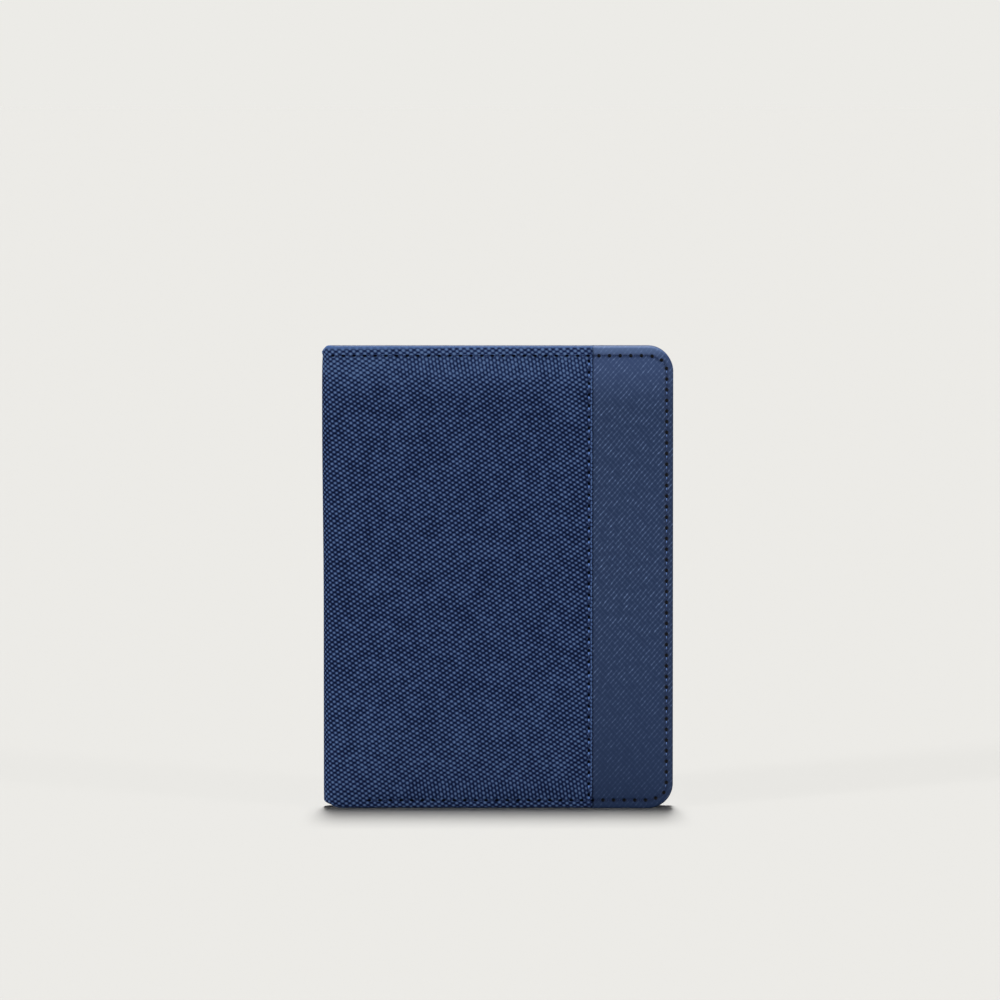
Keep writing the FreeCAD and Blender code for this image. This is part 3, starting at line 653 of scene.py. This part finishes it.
def band(word, side):
    """The band's outer face: a grid with rounded corners whose depth depends on the distance from the edge.

    From the edge it is a quarter-ellipse up to a ridge, then a groove at the sewing, then a low crown."""
    step = 0.3
    wall = LINING_DEPTH - BAND_DEPTH - RIM_DEPTH
    across = np.arange(SEAM_X - TUCK, EDGE_X + wall + step / 2, step)
    upward = np.arange(-wall, HEIGHT + wall + step / 2, step)
    p, q = np.meshgrid(across, upward, indexing="ij")
    x, z, inset = rounded_corners(p, q)
    edge = np.clip(inset / RIM_WIDTH, 0, 1)
    rim = RIM_DEPTH * (1 - np.sqrt(1 - (1 - edge) ** 2))
    past_edge = np.clip(-inset, 0, None)
    line_low, line_high, line_side = z - LOW_INSET, HEIGHT - HIGH_INSET - z, EDGE_X - SIDE_INSET - x
    inner = [1 - np.exp(-np.clip(d, 0, None) / 2.0) for d in (line_low, line_high, line_side)]
    inner.append(1 - np.exp(-np.clip(x - SEAM_X + 0.4, 0, None) / 2.5))
    puff = BAND_PUFF * inner[0] * inner[1] * inner[2] * inner[3]
    hole_distance = nearest(x, z, EDGE_HOLES)
    line = nearest(x, z, evenly(sewn_outline(), 0.4))
    groove = GROOVE * np.exp(-((line / 0.55) ** 2))
    pit = HOLE_DEPTH * np.exp(-((hole_distance / 0.36) ** 2))
    depth = BAND_DEPTH + rim + past_edge - puff + groove + pit
    points = np.stack([x, side * (HALF - depth), z], axis=-1)
    hole = np.exp(-((hole_distance / 0.64) ** 2))
    values = {"hole": hole, "groove": np.exp(-((line / 0.5) ** 2))}
    uv = np.stack([x, z], axis=-1)
    piece = sheet_piece(f"{word}_leather_edge", points, BAND_THICK, side, uv, values)
    piece.data.materials.append(band_leather)
    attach(piece, f"{word}_cover")
    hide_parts(f"{word}_leather_band")


for word, side in COVERS:
    band(word, side)

# --------------------------------------------------------------------------------------------------------
# Passport sleeves and card slots
# Panels of the lining's leather, sewn along their edges: a deep sleeve in each cover for the passport's
# covers, and stepped slots for cards on the front sleeve. A creased line runs beside each free edge.
# --------------------------------------------------------------------------------------------------------
CREASE = 0.08
CREASE_INSET = 2.2


def panel(name, node, body, corner):
    """A flat panel in the node's box: a grid with rounded corners, its free edge rolled back and creased."""
    low, high = box_mm(node)
    outer = FRONT if low[1] < 0 else BACK
    face_y = high[1] if outer == FRONT else low[1]
    thick = high[1] - low[1]
    width = high[0] - low[0]
    across = low[0] + np.concatenate([np.arange(0, 4, 0.25), np.arange(4, width, 1.5), [width]])
    p, q = np.meshgrid(across, np.linspace(low[2], high[2], 90), indexing="ij")
    x, z, _ = rounded_corners(p, q, high[0], low[2], high[2], corner)
    free = x - low[0]
    roll = thick * 0.45 * (1 - np.sqrt(1 - (1 - np.clip(free / 0.4, 0, 1)) ** 2))
    crease = CREASE * np.exp(-(((free - CREASE_INSET) / 0.3) ** 2))
    y = face_y + outer * (roll + crease)
    piece = sheet_piece(name, np.stack([x, y, z], axis=-1), thick * 0.9, -outer)
    piece.data.materials.append(lining_leather)
    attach(piece, body)
    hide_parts(node)


SLEEVE_CORNER = CORNER - 0.3
SLOT_CORNER = 0.8
for word, _ in COVERS:
    panel(f"{word}_sleeve", f"{word}_passport_sleeve", f"{word}_cover", SLEEVE_CORNER)
for node in ("card_slot_inner", "card_slot_middle", "card_slot_outer"):
    panel(f"{node}_panel", node, "front_cover", SLOT_CORNER)
for node in ("front_sleeve_hem", "back_sleeve_hem"):
    carried = bpy.data.objects[node]
    carried.data.materials.clear()
    carried.data.materials.append(lining_leather)

# --------------------------------------------------------------------------------------------------------
# Thread
# Bonded polyester thread, 0.4 mm thick, in the leather's navy. Each stitch rises out of one needle hole, lies
# in the groove and goes down the next.
# --------------------------------------------------------------------------------------------------------
THREAD_RADIUS = 0.2
THREAD_RISE = 0.3
THREAD_SINK = 0.2
RINGS = 8
SIDES = 6

# The thread reads as navy with the slanting lights and darks of its twist, and a pale glint at the top of
# each upright stitch.
thread, tree, shader = new_material("thread_bonded_polyester")
place = add(tree, "UVMap", {"uv_map": "cloth"}).outputs["UV"]
twist = add(tree, "VectorMath", {"operation": "DOT_PRODUCT"}, in0=place, in1=(1.6, 1.0, 0.0)).outputs["Value"]
twist = add(tree, "MapRange", Value=cosine(tree, twist), in1=-1.0, in2=1.0).outputs[0]
catch = add(tree, "Attribute", {"attribute_name": "catch"}).outputs["Fac"]
tone = two_tones(tree, catch, two_tones(tree, twist, "#16213f", "#2b3d63"), "#6d8fd0")
tree.links.new(tone, shader.inputs["Base Color"])
relief = add(tree, "Bump", Height=twist, Strength=0.4, Distance=0.00005)
tree.links.new(relief.outputs["Normal"], shader.inputs["Normal"])
shader.inputs["Roughness"].default_value = 0.6
shader.inputs["Specular IOR Level"].default_value = 0.15


def stitches(name, side, runs, depth_at, node, body, inwards=False):
    """Tubes from hole to hole: a path that dips at both ends, with a ring of points carried along it.

    depth_at gives the depth of the face that the thread lies on at x and z."""
    starts = np.concatenate([run[:-1] for run in runs])
    ends = np.concatenate([run[1:] for run in runs])
    share = np.linspace(0.15, 0.85, RINGS)
    centre = starts[:, None] + (ends - starts)[:, None] * share[None, :, None]
    length = np.hypot(*(ends - starts).T)[:, None, None]
    direction = (ends - starts)[:, None] / length
    rise = THREAD_RISE * np.sin(np.linspace(0, math.pi, RINGS)) ** 0.6 - THREAD_SINK
    slope = np.gradient(rise, share) / length[:, :, 0]
    depth = depth_at(centre[..., 0], centre[..., 1])
    facing = -side if inwards else side
    angle = np.linspace(0, 2 * math.pi, SIDES, endpoint=False)
    radius = THREAD_RADIUS * (1 - 0.25 * (np.abs(share - 0.5) * 2) ** 6)
    sideways = np.cos(angle)[None, None, :] * radius[None, :, None]
    outwards = np.sin(angle)[None, None, :] * radius[None, :, None]
    lean = -outwards * np.clip(slope, -1.5, 1.5)[:, :, None] * 0.6
    x = centre[..., 0:1] - direction[..., 1:2] * sideways + direction[..., 0:1] * lean
    z = centre[..., 1:2] + direction[..., 0:1] * sideways + direction[..., 1:2] * lean
    y = side * (HALF - depth)[..., None] + facing * (rise[None, :, None] + outwards)
    points = np.stack([x, y, z], axis=-1)
    index = np.arange(points[..., 0].size).reshape(points.shape[:3])
    ahead = np.roll(index, -1, axis=2)
    quads = np.stack([index[:, :-1], ahead[:, :-1], ahead[:, 1:], index[:, 1:]], axis=-1).reshape(-1, 4)
    caps = np.concatenate([index[:, 0], index[:, -1, ::-1]])
    if facing == FRONT:
        quads = quads[:, ::-1]
    else:
        caps = caps[:, ::-1]
    mesh = bpy.data.meshes.new(name)
    mesh.from_pydata((points.reshape(-1, 3) / 1000).tolist(), [], quads.tolist() + caps.tolist())
    mesh.polygons.foreach_set("use_smooth", np.ones(len(mesh.polygons), bool))
    at = (share[None, :, None] * length + np.zeros(points.shape[:3])).ravel()
    turn = np.broadcast_to(angle / (2 * math.pi), points.shape[:3]).ravel()
    loops = np.empty(len(mesh.loops), np.int32)
    mesh.loops.foreach_get("vertex_index", loops)
    layer = mesh.uv_layers.new(name="cloth")
    layer.data.foreach_set("uv", np.stack([at, turn], axis=1)[loops].astype(np.float32).ravel())
    rising = np.clip(direction[:, :, 1], 0, 1) ** 4 * smooth(0.58, 0.7, share)[None, :]
    catch = mesh.attributes.new("catch", "FLOAT", "POINT")
    catch.data.foreach_set("value", np.repeat(rising[..., None], SIDES, axis=2).astype(np.float32).ravel())
    piece = in_scene(name, mesh)
    piece.data.materials.append(thread)
    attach(piece, body)
    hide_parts(node)


def outer_depth(x, z):
    """Depth of the outside sewing: the canvas's channel, or the band's groove."""
    return np.where(x < SEAM_X - 0.2, CHANNEL + 0.08, BAND_DEPTH + 0.24)


def seam_depth(x, z):
    """Depth of the seam's sewing in the canvas."""
    return np.full(x.shape, CHANNEL + 0.06)


def inner_depth(sleeve_node):
    """Depth of the inside sewing: the sleeve's face, or the lining's beyond the sleeve's free edge."""
    low, high = box_mm(sleeve_node)
    face = HALF - np.abs([low[1], high[1]]).min()

    def depth(x, z):
        return np.where(x > low[0] - 0.5, face, LINING_DEPTH + LINING_THICK)

    return depth


for word, side in COVERS:
    cover = f"{word}_cover"
    stitches(f"{word}_edge_thread", side, [EDGE_HOLES], outer_depth, f"{word}_edge_stitching", cover)
    stitches(f"{word}_seam_thread", side, [SEAM_HOLES], seam_depth, f"{word}_seam_stitching", cover)
    depth_inside = inner_depth(f"{word}_passport_sleeve")
    stitches(f"{word}_inner_thread", side, [EDGE_HOLES], depth_inside, f"{word}_inner_stitching", cover, True)

slot_low, slot_high = box_mm("card_slot_inner")
slot_edges = [box_mm(f"card_slot_{which}")[0][0] for which in ("inner", "middle", "outer")]
slot_thick = slot_high[1] - slot_low[1]
SLOT_INSET = 1.5


def slot_depth(x, z):
    """Depth of the card slots' faces: one thickness more past each slot's free edge."""
    steps = sum((x > edge).astype(float) for edge in slot_edges)
    return HALF - abs(slot_low[1]) + np.maximum(steps, 1) * slot_thick


slot_runs = []
for z in (slot_low[2] + SLOT_INSET, slot_high[2] - SLOT_INSET):
    for start, end in zip(slot_edges, slot_edges[1:] + [slot_high[0] - SLOT_INSET]):
        slot_runs.append(evenly(np.array([[start + 0.9, z], [end - 0.5, z]]), PITCH))
side_ends = np.array([slot_low[2] + SLOT_INSET + 1, slot_high[2] - SLOT_INSET - 1])
side_line = np.stack([np.full(2, slot_high[0] - SLOT_INSET), side_ends], axis=1)
slot_runs.append(evenly(side_line, PITCH))
stitches("card_slot_thread", FRONT, slot_runs, slot_depth, "card_slot_stitching", "front_cover", True)

# --------------------------------------------------------------------------------------------------------
# Floor, light and camera
# A matt floor under a strip of narrow lamps above and a little behind, which light the top rims and leave a
# soft shadow in front, with two low lamps to the left and right of the camera for the front face.
# --------------------------------------------------------------------------------------------------------
PALE = linear("#ecebe7")
ROOM_LIGHT = 0.06

world = bpy.data.worlds.new("studio")
bpy.context.scene.world = world
world.use_nodes = True
tree = world.node_tree
tree.nodes.clear()
rays = add(tree, "LightPath")
seen = add(tree, "Background", Color=PALE, Strength=1.0)
lit = add(tree, "Background", Color=linear("#ffffff"), Strength=ROOM_LIGHT)
plain = add(tree, "MixShader", in0=rays.outputs["Is Camera Ray"], in1=lit.outputs[0], in2=seen.outputs[0])
add(tree, "OutputWorld", Surface=plain.outputs[0])

# The floor is a mid grey that the lamps bring up to the backdrop's pale tone, and it gives no shine.
FLOOR_REACH = 60.0
floor_mesh = bpy.data.meshes.new("floor")
floor_corners = [(i * FLOOR_REACH, j * FLOOR_REACH, 0) for i, j in ((-1, -1), (1, -1), (1, 1), (-1, 1))]
floor_mesh.from_pydata(floor_corners, [], [(0, 1, 2, 3)])
floor = in_scene("floor", floor_mesh)
floor_finish, tree, shader = new_material("floor_matt_paint")
shader.inputs["Base Color"].default_value = linear("#b1b0ad")
shader.inputs["Roughness"].default_value = 1.0
shader.inputs["Specular IOR Level"].default_value = 0.0
floor_mesh.materials.append(floor_finish)


def sun(name, azimuth, elevation, strength, spread):
    """A distant lamp. Azimuth 0 stands behind the camera, 90 to its right, 180 behind the holder."""
    lamp = bpy.data.lights.new(name, "SUN")
    lamp.energy = strength
    lamp.angle = math.radians(spread)
    turn, up = math.radians(azimuth), math.radians(elevation)
    in_scene(name, lamp).rotation_euler = (math.pi / 2 - up, 0, turn)


# Each lamp of the strip is an elevation in degrees and a strength.
STRIP = (86.3, 1.3), (81.3, 1.3), (76.5, 1.25), (71.6, 1.05), (66.5, 0.75)
for number, (elevation, strength) in enumerate(STRIP):
    sun(f"strip_softbox_{number}", 180, elevation, strength, 5)
sun("left_softbox", -45, 7, 1.75, 9)
sun("right_softbox", 48, 7, 0.95, 9)

# The camera is far away and slightly above, so the holder is seen almost straight on.
# Its width of view, its distance and its aim beside and above the holder's middle are in metres.
VIEW_WIDTH = 0.2986
DISTANCE = 2.4
RISE = math.radians(3.0)
AIM_BESIDE = 0.0007
AIM_ABOVE = 0.0229
SENSOR = 36.0
camera_data = bpy.data.cameras.new("camera")
camera = in_scene("camera", camera_data)
target = np.array([AIM_BESIDE, 0.0, HEIGHT / 2000 + AIM_ABOVE])
camera_data.sensor_width = SENSOR
camera_data.lens = SENSOR * DISTANCE / VIEW_WIDTH
camera.location = tuple(target + DISTANCE * np.array([0.0, -math.cos(RISE), math.sin(RISE)]))
camera.rotation_euler = (math.pi / 2 - RISE, 0, 0)
camera_data.clip_end = 200.0
bpy.context.scene.camera = camera
bpy.context.scene.view_settings.view_transform = "Standard"
